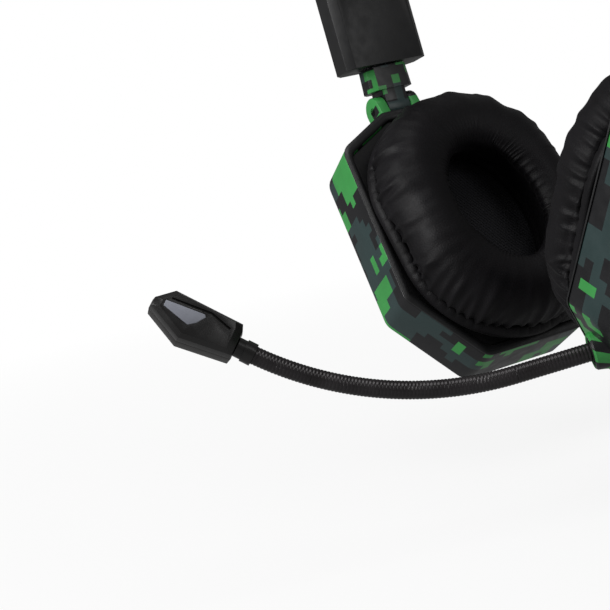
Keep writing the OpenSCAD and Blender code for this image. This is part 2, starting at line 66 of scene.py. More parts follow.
# Design sizes
CUP_TILT = math.radians(30)
SIDE, SIDE_DROP = 37.4, 19
FOOT, LOW = 19.6, 45.8
SHOULDER, SHOULDER_RISE = 32.8, 38.9
TOP, HIGH = 12, 49.5
RIM_X = -2
WAIST_X = RIM_X - 19.5
FACE_X = WAIST_X - 9
K_INNER, K_WAIST, K_FACE, K_OPENING = 0.93, 0.985, 0.80, 0.66
RIM_OUTLINE = [(FOOT, -LOW), (SIDE, -SIDE_DROP), (SHOULDER, SHOULDER_RISE), (TOP, HIGH),
               (-TOP, HIGH), (-SHOULDER, SHOULDER_RISE), (-SIDE, -SIDE_DROP), (-FOOT, -LOW)]
PAD_R, PAD_STRAIGHT, PAD_ROLL = 34.2, 20.8, 19
OVAL_LENGTH = 2 * math.pi * PAD_R + 2 * PAD_STRAIGHT
SEAM_R, SEAM_X = PAD_R - 3.2, 4.1
CLOTH_R = PAD_R - 6.4
OPENING = (16.0, 23.5, 1.5)
HINGE, LUG_OUT, LUG_THICK = (-11, 56), 8.5, 3.8
NECK_R, NECK_TURN, BOOM_DROP = 2.6, math.radians(11), math.radians(5)
RIB_PITCH, RIB_DEPTH = 1.0, 0.17
BALL_R = 1.72
CORNER_R = 5.5
ARC_STEPS, SOFT_STEPS = 5, 4
PUFF_FRAMES = 20
HEAD_PAD, HEAD_PAD_SPAN, HEAD_PAD_WIDTH = 12, math.radians(33), 34
PAD_TOP_R = 126.38
ARM_LEAN = math.radians(8)


# ---------- frames that come from the CAD ----------

def middle(node):
    low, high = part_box(node)
    return (low + high) / 2


def columns(x, y, z, origin):
    """Matrix that takes millimetres in a frame with these axes to the row frame in metres."""
    place = Matrix((x * MM, y * MM, z * MM)).transposed().to_4x4()
    place.translation = origin
    return place


def cup_axes(side):
    s = 1 if side == "r" else -1
    across = Vector((s * math.cos(CUP_TILT), 0, math.sin(CUP_TILT)))
    up = Vector((-s * math.sin(CUP_TILT), 0, math.cos(CUP_TILT)))
    return across, Vector((0, 1, 0)), up


def cup_place(side):
    x, y, z = cup_axes(side)
    plate_middle = 1.1
    return columns(x, y, z, middle("pad_plate_" + side) + x * plate_middle * MM)


CUP = {side: cup_place(side) for side in SIDES}
JOINTS = {joint["name"]: joint for joint in frame["joints"]}
BEND_AXIS = Vector(JOINTS["boom_bend_1"]["axis"]).normalized()
KNOTS = [Vector(JOINTS[f"boom_bend_{i}"]["pos_m"]) / MM for i in range(1, 5)]
BODY_OF = {node: body for body, nodes in frame["record"]["behaviour"]["bodies"].items() for node in nodes}


# ---------- meshes ----------

def add_piece(name, points, faces, place, body, material, sharp=35):
    """Makes a mesh from millimetre points, smooth but for edges over sharp degrees."""
    mesh = bpy.data.meshes.new(name)
    mesh.from_pydata([place @ Vector(p) for p in points], [], faces)
    if place.determinant() < 0:
        mesh.flip_normals()
    piece = bpy.data.objects.new(name, mesh)
    bpy.context.scene.collection.objects.link(piece)
    finish_piece(piece, body, material, sharp)
    return piece


def finish_piece(piece, body, material, sharp=35):
    mesh = piece.data
    mesh.validate()
    mesh.polygons.foreach_set("use_smooth", [True] * len(mesh.polygons))
    mesh.set_sharp_from_angle(angle=math.radians(sharp))
    mesh.materials.clear()
    mesh.materials.append(material)
    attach(piece, body)


def loft(rings, looped=False, caps=True):
    """Joins rings of equal length into a skin; looped joins the last ring to the first."""
    n = len(rings[0])
    points = [p for ring in rings for p in ring]
    faces = []
    for i in range(len(rings) if looped else len(rings) - 1):
        a, b = i * n, (i + 1) % len(rings) * n
        faces += [(a + j, a + (j + 1) % n, b + (j + 1) % n, b + j) for j in range(n)]
    if caps and not looped:
        faces.append(tuple(reversed(range(n))))
        faces.append(tuple(range(len(points) - n, len(points))))
    return points, faces


def join(*parts):
    points, faces = [], []
    for more_points, more_faces in parts:
        start = len(points)
        points += more_points
        faces += [tuple(start + i for i in face) for face in more_faces]
    return points, faces


def rounded(corners, radius):
    """Outline with each corner turned into an arc."""
    points = []
    for i, corner in enumerate(corners):
        p = Vector(corner)
        before = (Vector(corners[i - 1]) - p).normalized()
        after = (Vector(corners[(i + 1) % len(corners)]) - p).normalized()
        half = before.angle(after) / 2
        reach = radius / math.tan(half)
        centre = p + (before + after).normalized() * (radius / math.sin(half))
        start, end = p + before * reach - centre, p + after * reach - centre
        for s in range(ARC_STEPS + 1):
            turn = start.lerp(end, s / ARC_STEPS).normalized() * radius
            points.append(tuple(centre + turn))
    return points


def soften(profile, reach):
    """Open profile with each inner corner turned into a short curve."""
    points = [Vector(profile[0])]
    for i in range(1, len(profile) - 1):
        p, q, r = Vector(profile[i - 1]), Vector(profile[i]), Vector(profile[i + 1])
        a = q + (p - q).normalized() * min(reach, (p - q).length * 0.45)
        b = q + (r - q).normalized() * min(reach, (r - q).length * 0.45)
        shares = [s / SOFT_STEPS for s in range(SOFT_STEPS + 1)]
        points += [a.lerp(q, t).lerp(q.lerp(b, t), t) for t in shares]
    return points + [Vector(profile[-1])]


def outline_ring(x, k, radius):
    """Ring of the rim outline at depth x, drawn k times its size."""
    return [(x, y, z) for y, z in rounded([(k * y, k * z) for y, z in RIM_OUTLINE], radius)]


def outline_rings(profile, reach):
    """Rings for a profile of depth and size; sizes are compared with depths by the rim's width."""
    soft = soften([(x, k * SIDE) for x, k in profile], reach)
    return [outline_ring(x, kr / SIDE, CORNER_R * kr / SIDE) for x, kr in soft]


def turned(profile, steps=48):
    """Skin turned about z from a profile of radius and height, closed on the axis or looped."""
    return [[(r * math.cos(a), r * math.sin(a), z) for a in [2 * math.pi * i / steps for i in range(steps)]]
            for r, z in profile]


def inset(outline, amount):
    """Closed outline, counter-clockwise, moved inwards."""
    moved = []
    for i, point in enumerate(outline):
        p = Vector(point)
        a = (p - Vector(outline[i - 1])).normalized()
        b = (Vector(outline[(i + 1) % len(outline)]) - p).normalized()
        normal = Vector((-(a + b).y, (a + b).x)).normalized()
        moved.append(tuple(p + normal * amount))
    return moved


def slab(outline, low, high, edge):
    """Plate of an outline in the plane, with rounded edges, between two heights along the third axis."""
    levels = [(edge, low), (edge * 0.3, low + edge * 0.3), (0, low + edge),
              (0, high - edge), (edge * 0.3, high - edge * 0.3), (edge, high)]
    return loft([[(a, b, h) for a, b in inset(outline, amount)] for amount, h in levels])


def reordered(part, order):
    points, faces = part
    return [tuple(p[i] for i in order) for p in points], faces


def carried(part, place):
    """The same part moved into another frame that is also in millimetres."""
    points, faces = part
    return [tuple(place @ Vector(p)) for p in points], faces


def bevelled(node, width, material):
    """Stands a copy of a hard CAD part in its place with its edges rounded."""
    shape = bmesh.new()
    shape.from_mesh(frame["nodes"][node].data)
    bmesh.ops.remove_doubles(shape, verts=shape.verts, dist=3e-6)
    bmesh.ops.dissolve_limit(shape, angle_limit=math.radians(1.2), verts=shape.verts, edges=shape.edges)
    mesh = bpy.data.meshes.new(node + "_rounded")
    shape.to_mesh(mesh)
    shape.free()
    custom = mesh.attributes.get("custom_normal")
    if custom is not None:
        mesh.attributes.remove(custom)
    piece = bpy.data.objects.new(node + "_rounded", mesh)
    bpy.context.scene.collection.objects.link(piece)
    bevel = piece.modifiers.new("Bevel", "BEVEL")
    bevel.width = width * MM
    bevel.segments = 3
    bevel.limit_method = "ANGLE"
    bevel.angle_limit = math.radians(25)
    apply_modifiers(piece)
    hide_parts(node)
    finish_piece(piece, BODY_OF[node], material)
    return piece


def apply_modifiers(piece):
    view = bpy.context.evaluated_depsgraph_get()
    mesh = bpy.data.meshes.new_from_object(piece.evaluated_get(view))
    piece.modifiers.clear()
    piece.data = mesh


# ---------- materials ----------

def add(tree, kind, inputs=None, **settings):
    """Adds a node; an input is either a value or another node's output."""
    made = tree.nodes.new(kind)
    for key, value in settings.items():
        setattr(made, key, value)
    for key, value in (inputs or {}).items():
        if isinstance(value, bpy.types.NodeSocket):
            tree.links.new(value, made.inputs[key])
        else:
            made.inputs[key].default_value = value
    return made


def maths(tree, operation, a, b=0.0, c=0.0):
    return add(tree, "ShaderNodeMath", {0: a, 1: b, 2: c}, operation=operation).outputs[0]


def vectors(tree, operation, a, b=(0, 0, 0), output="Vector"):
    made = add(tree, "ShaderNodeVectorMath", {0: a, 1: b}, operation=operation)
    return made.outputs[output]


def mixed(tree, factor, a, b):
    made = tree.nodes.new("ShaderNodeMix")
    made.data_type = "RGBA"
    for socket, value in ((made.inputs[0], factor), (made.inputs[6], a), (made.inputs[7], b)):
        if isinstance(value, bpy.types.NodeSocket):
            tree.links.new(value, socket)
        else:
            socket.default_value = value
    return made.outputs[2]


def mapped(tree, value, low, high, out_low=0.0, out_high=1.0):
    inputs = {"Value": value, "From Min": low, "From Max": high, "To Min": out_low, "To Max": out_high}
    return add(tree, "ShaderNodeMapRange", inputs).outputs[0]


def noise_at(tree, vector, scale, detail=2.0, roughness=0.5):
    inputs = {"Vector": vector, "Scale": scale, "Detail": detail, "Roughness": roughness}
    return add(tree, "ShaderNodeTexNoise", inputs).outputs["Fac"]


def shader(name, roughness=0.4, **values):
    """New material: its tree, its main shader and its object coordinates in millimetres."""
    material = bpy.data.materials.new(name)
    material.use_nodes = True
    tree = material.node_tree
    main = tree.nodes["Principled BSDF"]
    main.inputs["Roughness"].default_value = roughness
    for key, value in values.items():
        main.inputs[key.replace("_", " ")].default_value = value
    place = add(tree, "ShaderNodeTexCoord").outputs["Object"]
    return material, tree, main, vectors(tree, "MULTIPLY", place, (1000, 1000, 1000))


def set_colour(tree, main, colour):
    tree.links.new(colour, main.inputs["Base Color"])


def set_bump(tree, main, height, distance, strength=1.0):
    """Bump of a height from 0 to 1 that stands for a distance in millimetres."""
    inputs = {"Height": height, "Distance": distance * MM, "Strength": strength}
    tree.links.new(add(tree, "ShaderNodeBump", inputs).outputs[0], main.inputs["Normal"])


def set_roughness(tree, main, place, scale, low, high):
    value = mapped(tree, noise_at(tree, place, scale), 0.3, 0.7, low, high)
    tree.links.new(value, main.inputs["Roughness"])


def rgb(r, g, b):
    return (r, g, b, 1)


def moulded(name, colour, roughness, grain=0.012, coat=0.0):
    """Moulded plastic or rubber with a fine spark-eroded grain and faint cloudiness."""
    material, tree, main, place = shader(name, roughness, Coat_Weight=coat, Coat_Roughness=0.12)
    cloud = noise_at(tree, place, 0.12, 3)
    pale = rgb(*[min(1, c * 1.35 + 0.003) for c in colour])
    set_colour(tree, main, mixed(tree, mapped(tree, cloud, 0.3, 0.7), rgb(*colour), pale))
    set_roughness(tree, main, place, 0.3, roughness - 0.05, roughness + 0.07)
    set_bump(tree, main, noise_at(tree, place, 3.2, 2), grain)
    return material


def brushed(name, colour, roughness, along):
    """Metal with fine lines drawn along one direction."""
    material, tree, main, place = shader(name, roughness, Metallic=1.0)
    stretched = vectors(tree, "MULTIPLY", place, along)
    lines = noise_at(tree, stretched, 1.0, 4, 0.7)
    dark = rgb(*[c * 0.82 for c in colour])
    set_colour(tree, main, mixed(tree, mapped(tree, lines, 0.3, 0.7), dark, rgb(*colour)))
    tree.links.new(mapped(tree, lines, 0.3, 0.7, roughness - 0.06, roughness + 0.1), main.inputs["Roughness"])
    set_bump(tree, main, lines, 0.01)
    return material


def leather(name):
    """Soft black leatherette with a pebbled grain and shallow creases."""
    material, tree, main, place = shader(name, 0.4, Sheen_Weight=0.02, Sheen_Roughness=0.4)
    main.inputs["Specular IOR Level"].default_value = 0.17
    warp = add(tree, "ShaderNodeTexNoise", {"Vector": place, "Scale": 0.5, "Detail": 2.0}).outputs["Color"]
    bent = vectors(tree, "ADD", place, vectors(tree, "MULTIPLY", warp, (0.9, 0.9, 0.9)))
    cells = add(tree, "ShaderNodeTexVoronoi", {"Vector": bent, "Scale": 1.25}, feature="DISTANCE_TO_EDGE")
    pebble = mapped(tree, cells.outputs["Distance"], 0.0, 0.22)
    creases = noise_at(tree, place, 0.35, 4, 0.6)
    height = maths(tree, "MULTIPLY_ADD", pebble, 0.5, maths(tree, "MULTIPLY", creases, 0.9))
    set_bump(tree, main, height, 0.06, 0.8)
    cloud = mapped(tree, noise_at(tree, place, 0.05, 3), 0.3, 0.7)
    set_colour(tree, main, mixed(tree, cloud, rgb(0.0038, 0.0033, 0.0041), rgb(0.0070, 0.0062, 0.0077)))
    set_roughness(tree, main, place, 0.16, 0.44, 0.58)
    return material


def in_cup_frame(tree, vector, side):
    """Parts of a vector along the cup's own axes."""
    parts = [vectors(tree, "DOT_PRODUCT", vector, tuple(axis), "Value") for axis in cup_axes(side)]
    return add(tree, "ShaderNodeCombineXYZ", dict(enumerate(parts))).outputs[0]


def knit(name, side):
    """Black knitted mesh: rows of small open loops, with painted shade near-black in the openings."""
    material, tree, main, place = shader(name, 0.8, Sheen_Weight=0.06, Sheen_Roughness=0.4)
    split = add(tree, "ShaderNodeSeparateXYZ", {0: in_cup_frame(tree, place, side)})
    pitch = 1.2
    across, along = (maths(tree, "MULTIPLY", split.outputs[i], 2 * math.pi / pitch) for i in (1, 2))
    rows = maths(tree, "SINE", maths(tree, "MULTIPLY", along, 1.15))
    shifted = maths(tree, "ADD", across, maths(tree, "MULTIPLY", along, 0.575))
    loops = maths(tree, "SINE", shifted)
    # Mask of the open loops: it weights the painted shade in the openings and, inverted, raises the threads as
    # bump.
    open_shade_and_relief = mapped(tree, maths(tree, "MULTIPLY_ADD", rows, 0.5, loops), 0.2, 0.9)
    # Near-black colour of the openings: painted shade seen through the knit, not a thread colour.
    hole_shade = rgb(0.0012, 0.0012, 0.0016)
    thread = rgb(0.0075, 0.0070, 0.0115)
    set_colour(tree, main, mixed(tree, open_shade_and_relief, thread, hole_shade))
    set_bump(tree, main, maths(tree, "SUBTRACT", 1.0, open_shade_and_relief), 0.3)
    return material


GREEN = rgb(0.052, 0.36, 0.078)
TEAL = rgb(0.026, 0.050, 0.050)
DARK = rgb(0.0065, 0.0065, 0.0080)
BLOCK = 3.1
PRINT_SHIFT = {"r": 93.0, "l": 124.0}
CAMO_GREEN_AT, CAMO_TEAL_AT = (31, -12, 57), (-83, 40, 9)


def pick_camo(tree, spot):
    """Green, slate and black by noises read at the middle of each block."""
    patches = noise_at(tree, vectors(tree, "ADD", spot, CAMO_GREEN_AT), 0.062, 1, 0.4)
    second = noise_at(tree, vectors(tree, "ADD", spot, CAMO_TEAL_AT), 0.066, 1, 0.4)
    speck = add(tree, "ShaderNodeTexWhiteNoise", {"Vector": spot}).outputs["Value"]
    swing = maths(tree, "SUBTRACT", speck, 0.5)
    green = maths(tree, "GREATER_THAN", maths(tree, "MULTIPLY_ADD", swing, 0.12, patches), 0.54)
    teal = maths(tree, "GREATER_THAN", maths(tree, "MULTIPLY_ADD", swing, -0.08, second), 0.51)
    return mixed(tree, green, mixed(tree, teal, DARK, TEAL), GREEN)


def finish_camo(tree, main, place, colour):
    cloud = mapped(tree, noise_at(tree, place, 0.08, 3), 0.3, 0.7, 0.86, 1.1)
    shade = add(tree, "ShaderNodeCombineXYZ", {0: cloud, 1: cloud, 2: cloud}).outputs[0]
    tinted = vectors(tree, "MULTIPLY", colour, shade)
    set_colour(tree, main, tinted)
    set_roughness(tree, main, place, 0.25, 0.30, 0.42)
    set_bump(tree, main, noise_at(tree, place, 2.6, 2), 0.012)


def camo(name, spot_of):
    """Painted plastic; spot_of gives the middle of the block that a place lies in."""
    material, tree, main, place = shader(name, 0.38, Coat_Weight=0.05, Coat_Roughness=0.22)
    finish_camo(tree, main, place, pick_camo(tree, spot_of(tree, place)))
    return material


def blocks_on_wrap(tree, _place):
    """Blocks in rows along the walls, by the distances stored with the mesh."""
    wrap = add(tree, "ShaderNodeUVMap", uv_map="wrap").outputs[0]
    return vectors(tree, "SNAP", wrap, (BLOCK, BLOCK, 1))


def blocks_on_arm(tree, place):
    """Blocks squared up with the leaning slider arms."""
    inputs = {"Vector": place, "Angle": ARM_LEAN}
    upright = add(tree, "ShaderNodeVectorRotate", inputs, rotation_type="Y_AXIS")
    return vectors(tree, "SNAP", upright.outputs[0], (BLOCK, BLOCK, BLOCK))


def blocks_on_arch(tree, place):
    """Blocks that follow the arch of the headband."""
    split = add(tree, "ShaderNodeSeparateXYZ", {0: place})
    drop = maths(tree, "ADD", split.outputs[2], 70.0)
    turn = maths(tree, "MULTIPLY", maths(tree, "ARCTAN2", split.outputs[0], drop), 85.0)
    flat = add(tree, "ShaderNodeCombineXYZ", {0: turn, 1: split.outputs[1]}).outputs[0]
    return vectors(tree, "SNAP", flat, (BLOCK, BLOCK, 1))


def ribbed_metal(name):
    """Black-coated gooseneck wire, satin with a faint mottle of wear over it."""
    material, tree, main, place = shader(name, 0.22, Metallic=0.35)
    wear = mapped(tree, noise_at(tree, place, 0.12, 3), 0.35, 0.7)
    set_colour(tree, main, mixed(tree, wear, rgb(0.024, 0.021, 0.022), rgb(0.040, 0.036, 0.038)))
    set_roughness(tree, main, place, 0.12, 0.18, 0.24)
    return material


def circuit(name):
    """Green board with paler printed tracks."""
    material, tree, main, place = shader(name, 0.3, Coat_Weight=0.6)
    tracks = add(tree, "ShaderNodeTexBrick", {"Vector": place, "Scale": 0.35, "Mortar Size": 0.03})
    tracks.inputs["Color1"].default_value = rgb(0.01, 0.09, 0.03)
    tracks.inputs["Color2"].default_value = rgb(0.012, 0.12, 0.04)
    tracks.inputs["Mortar"].default_value = rgb(0.08, 0.28, 0.09)
    set_colour(tree, main, tracks.outputs["Color"])
    set_bump(tree, main, tracks.outputs["Fac"], 0.03)
    return material


def film(name):
    """Pale speaker film with a faintly uneven surface."""
    material, tree, main, place = shader(name, 0.28)
    mottle = noise_at(tree, place, 0.4, 3)
    set_colour(tree, main, mixed(tree, mottle, rgb(0.28, 0.24, 0.17), rgb(0.42, 0.38, 0.30)))
    set_bump(tree, main, noise_at(tree, place, 1.2, 2), 0.02)
    return material


STEEL = brushed("brushed_steel", (0.62, 0.62, 0.64), 0.28, (0.2, 3.0, 0.2))
SCREW = brushed("screw_steel", (0.52, 0.52, 0.54), 0.34, (1.5, 1.5, 1.5))
MAGNET = brushed("nickel_plate", (0.66, 0.65, 0.62), 0.24, (0.8, 0.8, 0.8))
BLACK = moulded("black_plastic", (0.0065, 0.0065, 0.0072), 0.42)
GLOSS = moulded("gloss_black", (0.0075, 0.0070, 0.0070), 0.26, 0.006, 0.1)
CAPSULE_BROWN = moulded("capsule_shell", (0.013, 0.0118, 0.0115), 0.34, 0.008, 0.08)
WINDOW = moulded("window_plastic", (0.235, 0.245, 0.285), 0.42, 0.004)
RUBBER = moulded("black_rubber", (0.007, 0.007, 0.008), 0.6, 0.02)
CAN = brushed("capsule_can", (0.6, 0.6, 0.62), 0.3, (1, 1, 1))
LEATHER = leather("leatherette")
NECK = ribbed_metal("gooseneck")
BOARD = circuit("circuit_board")
FILM = film("speaker_film")
CAMO_CUP = camo("camo_cup", blocks_on_wrap)
CAMO_ARM = camo("camo_arm", blocks_on_arm)
CAMO_BAND = camo("camo_band", blocks_on_arch)
KNIT = {side: knit("knit_mesh_" + side, side) for side in SIDES}


def dress(node, material):
    """Gives a CAD node that stays in view its own material."""
    mesh = frame["nodes"][node].data
    mesh.materials.clear()
    mesh.materials.append(material)


PLAIN = {
    "band_spring": STEEL, "band_cover": CAMO_BAND, "band_liner": BLACK, "band_screws": SCREW,
    "detent": STEEL, "strip": STEEL, "arm_rivets": SCREW, "hinge_pin": STEEL, "baffle": BLACK,
    "baffle_screws": SCREW, "speaker_frame": BLACK, "speaker_magnet": MAGNET, "speaker_cone": FILM,
    "pad_plate": BLACK, "junction_board": BOARD, "cord_gland": RUBBER, "boom_grommet": RUBBER,
    "mic_collar": GLOSS, "mic_capsule": CAN,
}
for node in frame["nodes"]:
    base = node[:-2] if node[-2:] in ("_r", "_l") else node
    if base in PLAIN:
        dress(node, PLAIN[base])


# ---------- cups ----------

def hinge_ear(y):
    """Rounded lug that holds the hinge pin, from y to y and its thickness."""
    hx, hz = HINGE
    round_top = [(hx + 5 * math.cos(a), hz + 5 * math.sin(a))
                 for a in [math.pi * i / 12 for i in range(13)]]
    outline = round_top + [(hx - 5, HIGH - 3), (hx + 5, HIGH - 3)]
    return reordered(slab(outline, y, y + LUG_THICK, 0.5), (0, 2, 1))


def flipped(part):
    points, faces = part
    return points, [tuple(reversed(face)) for face in faces]


def make_shell(side):
    """Hollow cup: inner wall, rim, outer wall, bevel and the opening behind the face plate."""
    profile = [(WAIST_X, 0.90), (RIM_X, K_INNER), (RIM_X, 1.0), (WAIST_X, K_WAIST), (FACE_X, K_FACE),
               (FACE_X, K_OPENING), (FACE_X + 2, K_OPENING), (FACE_X + 2, 0.74), (WAIST_X, 0.90)]
    rings = outline_rings(profile, 0.9)
    parts = [loft(rings, looped=True)]
    parts += [flipped(hinge_ear(y)) for y in (-LUG_OUT, LUG_OUT - LUG_THICK)]
    if side == "l":
        parts.append(boom_socket())
    points, faces = join(*parts)
    piece = add_piece("cup_shell_" + side, points, faces, CUP[side], "cup_" + side, CAMO_CUP)
    store_wrap(piece, points, rings, PRINT_SHIFT[side])
    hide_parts("shell_" + side)
    return piece


def store_wrap(piece, points, rings, shift):
    """Stores how far each place lies round the walls and down them, for the painted pattern."""
    n = len(rings[0]) if rings else 1
    round_rim = [0.0]
    down = [0.0]
    if rings:
        rim = outline_ring(RIM_X, 1, CORNER_R)
        for j in range(n):
            round_rim.append(round_rim[-1] + math.dist(rim[j], rim[(j + 1) % n]))
        for i in range(len(rings)):
            down.append(down[-1] + math.dist(rings[i][0], rings[(i + 1) % len(rings)][0]))
    wrap = piece.data.uv_layers.new(name="wrap").data
    for polygon in piece.data.polygons:
        spots = [divmod(v, n) for v in polygon.vertices]
        over_end = n > 1 and {0, n - 1} <= {j for i, j in spots}
        over_ring = len(rings) - 1 in {i for i, j in spots} and 0 in {i for i, j in spots}
        for loop, vertex, (i, j) in zip(polygon.loop_indices, polygon.vertices, spots):
            if vertex < n * len(rings):
                station = n if over_end and j == 0 else j
                level = len(rings) if over_ring and i == 0 else i
                wrap[loop].uv = (round_rim[station] + shift, down[level])
            else:
                x, y, z = points[vertex]
                wrap[loop].uv = (y + 0.6 * x + 140 + shift, z + 300)


def boom_socket():
    """Collar that the boom comes out of, in the left cup's frame."""
    profile = [(3.9, 1.4), (4.2, 1.9), (4.8, 1.9), (5.3, 1.4), (5.5, 0), (6.2, -3.2), (6.6, -7), (3.9, -7)]
    place = CUP["l"].inverted() @ boom_place(BOOM_START, -BOOM_DROP)
    return carried(loft(turned(profile), looped=True), place)


def make_lip(side):
    """Thin black bead round the rim."""
    profile = [(-2.0, 0.935), (-1.4, 0.935), (-0.95, 0.948), (-0.85, 0.968), (-1.0, 0.988),
               (-1.5, 1.002), (-2.0, 1.002)]
    rings = [outline_ring(x, k, CORNER_R * k) for x, k in profile]
    points, faces = loft(rings, looped=True)
    piece = add_piece("rim_bead_" + side, points, faces, CUP[side], "cup_" + side, BLACK)
    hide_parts("rim_lip_" + side)


def make_face(side):
    """Outer cover with a rounded border and a raised six-sided boss with a sunk middle."""
    plate = [(FACE_X + 2, 0.655), (FACE_X, 0.655), (FACE_X, 0.78), (FACE_X - 2.2, 0.70)]
    soft = soften([(x, k * SIDE) for x, k in plate], 0.7)
    rings = [outline_ring(x, kr / SIDE, 4.2) for x, kr in soft]
    points, faces = loft(rings)
    piece = add_piece("face_cover_" + side, points, faces, CUP[side], "cup_" + side, CAMO_CUP)
    store_wrap(piece, points, [], PRINT_SHIFT[side])
    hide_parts("face_plate_" + side)
    outline = rounded([(0, -24), (17, -10), (15, 17), (0, 26), (-15, 17), (-17, -10)], 2.5)
    steps = [(0, 1.0), (-0.8, 1.0), (-1.15, 0.985), (-1.2, 0.95), (-1.2, 0.80), (-0.9, 0.775),
             (-0.5, 0.765), (-0.5, 0.3), (-0.5, 0.02)]
    rings = [[(FACE_X - 2.2 + x + 0.05, k * y, k * z) for y, z in outline] for x, k in steps]
    points, faces = loft(rings)
    add_piece("face_boss_" + side, points, faces, CUP[side], "cup_" + side, GLOSS)


# ---------- ear cushions ----------

def oval_columns(count):
    """Stations round the cushion's oval: distance round it, middle of the roll's turn, direction."""
    half = PAD_STRAIGHT / 2
    arc = math.pi * PAD_R
    made = []
    for i in range(count):
        u = OVAL_LENGTH * i / count
        if u < arc:
            made.append((u, (0, half), (math.cos(u / PAD_R), math.sin(u / PAD_R))))
        elif u < arc + PAD_STRAIGHT:
            made.append((u, (0, half - (u - arc)), (-1, 0)))
        elif u < 2 * arc + PAD_STRAIGHT:
            a = math.pi + (u - arc - PAD_STRAIGHT) / PAD_R
            made.append((u, (0, -half), (math.cos(a), math.sin(a))))
        else:
            made.append((u, (0, -half + (u - 2 * arc - PAD_STRAIGHT)), (1, 0)))
    return made


def oval_place(y, z):
    """Distance round the oval and radius of a point in the cup frame."""
    half = PAD_STRAIGHT / 2
    arc = math.pi * PAD_R
    if z > half:
        return PAD_R * math.atan2(z - half, y), math.hypot(y, z - half)
    if z < -half:
        return arc + PAD_STRAIGHT + PAD_R * (math.atan2(z + half, y) % (2 * math.pi) - math.pi), \
            math.hypot(y, z + half)
    if y < 0:
        return arc + half - z, -y
    return 2 * arc + PAD_STRAIGHT + z + half, y


def power(value, exponent):
    return math.copysign(abs(value) ** exponent, value)


def roll_profile():
    """Section of the cushion roll: outer seam, crown, inner rim, inner wall and foot."""
    spine = [(SEAM_R, SEAM_X), (33.0, 5.5), (34.0, 8.8), (33.9, 12.6), (32.6, 16.8), (30.0, 20.5),
             (26.6, 22.7), (22.8, 23.3), (19.2, 22.6), (16.6, 21.1), (15.4, 18.8), (15.3, 15.5),
             (15.9, 10.5), (16.6, 5.5), (17.0, 1.8)]
    made = []
    for i in range(len(spine) - 1):
        p0, p1 = Vector(spine[max(i - 1, 0)]), Vector(spine[i])
        p2, p3 = Vector(spine[i + 1]), Vector(spine[min(i + 2, len(spine) - 1)])
        for t in (0, 0.5):
            curve = 2 * p1 + (p2 - p0) * t + (2 * p0 - 5 * p1 + 4 * p2 - p3) * t * t
            made.append(tuple((curve + (3 * p1 - p0 - 3 * p2 + p3) * t ** 3) / 2))
    return made + [spine[-1], (17.6, 0.9), (22.0, 0.9), (27.0, 1.6), (SEAM_R - 0.6, 3.2)]


def opening_radius(cy, cz, dy, dz):
    """How far the ear opening's edge lies from the middle of the roll's turn, along a direction."""
    half_y, half_z, drop = OPENING
    a = (dy / half_y) ** 2 + (dz / half_z) ** 2
    b = 2 * (cy * dy / half_y ** 2 + (cz + drop) * dz / half_z ** 2)
    c = (cy / half_y) ** 2 + ((cz + drop) / half_z) ** 2 - 1
    return (math.sqrt(max(0, b * b - 4 * a * c)) - b) / (2 * a)


def roll_rings(count):
    """The roll's section carried round the oval, with its inner side following the ear opening."""
    profile = roll_profile()
    inner = min(r for r, x in profile)
    rings = []
    for _, (cy, cz), (dy, dz) in oval_columns(count):
        share = (PAD_R - opening_radius(cy, cz, dy, dz)) / (PAD_R - inner)
        ring = []
        for r, x in profile:
            moved = PAD_R - (PAD_R - r) * (share if r < SEAM_R - 1 else 1)
            ring.append((x, cy + moved * dy, cz + moved * dz))
        rings.append(ring)
    return rings


def lay_creases():
    """Gathers round the seam: distance, depth, length and slant of each, at an uneven pitch."""
    made = []
    at = 0.0
    while at < OVAL_LENGTH - 2:
        depth = 1.15 + 1.0 * noise.noise(Vector((at * 0.71, 9.4, 1.7)))
        length = 14.5 + 13.0 * noise.noise(Vector((at * 0.23, 5.5, 2.9)))
        slant = 0.75 * noise.noise(Vector((at * 0.11, 7.7, 4.4)))
        made.append((at, depth, length, slant))
        at += 4.0 + 2.4 * noise.noise(Vector((at * 0.37, 3.1, 8.2)))
    return made


CREASES = lay_creases()


def crease_depth(u, v):
    """Depth of the gathers at distance u round the seam and v up from it."""
    total = 0.0
    for at, depth, length, slant in CREASES:
        off = (u - at - slant * v + OVAL_LENGTH / 2) % OVAL_LENGTH - OVAL_LENGTH / 2
        if abs(off) < 4:
            width = 0.6 + 0.075 * v
            fade = math.exp(-(v / length) ** 1.5 * 1.5)
            total += depth * fade * (math.exp(-(off / width) ** 2) - 0.22 * math.exp(-(off / 2.2) ** 2))
    return total


def inflate(piece, pins, pressure, grow, reach):
    """Puffs a closed skin with cloth pressure, held at its seams, and caps how far a point moves."""
    scale = 10
    mesh = piece.data
    mesh.transform(Matrix.Scale(scale, 4))
    rest = [v.co.copy() for v in mesh.vertices]
    held = piece.vertex_groups.new(name="seams")
    held.add(pins, 1.0, "REPLACE")
    cloth = piece.modifiers.new("Cloth", "CLOTH")
    cloth.settings.quality = 7
    cloth.settings.mass = 0.2
    cloth.settings.tension_stiffness = 12
    cloth.settings.compression_stiffness = 12
    cloth.settings.shear_stiffness = 5
    cloth.settings.bending_stiffness = 0.4
    cloth.settings.use_pressure = True
    cloth.settings.uniform_pressure_force = pressure
    cloth.settings.shrink_min = -grow
    cloth.settings.vertex_group_mass = held.name
    cloth.settings.effector_weights.gravity = 0
    cloth.collision_settings.use_collision = False
    cloth.point_cache.frame_end = PUFF_FRAMES
    for step in range(1, PUFF_FRAMES + 1):
        bpy.context.scene.frame_set(step)
    puffed = piece.evaluated_get(bpy.context.evaluated_depsgraph_get()).data
    moves = [puffed.vertices[i].co - rest[i] for i in range(len(rest))]
    piece.modifiers.clear()
    bpy.context.scene.frame_set(1)
    limit = reach * MM * scale
    for i, vertex in enumerate(mesh.vertices):
        move = moves[i] * min(1, limit / max(moves[i].length, 1e-9))
        vertex.co = rest[i] + move
    mesh.transform(Matrix.Scale(1 / scale, 4))


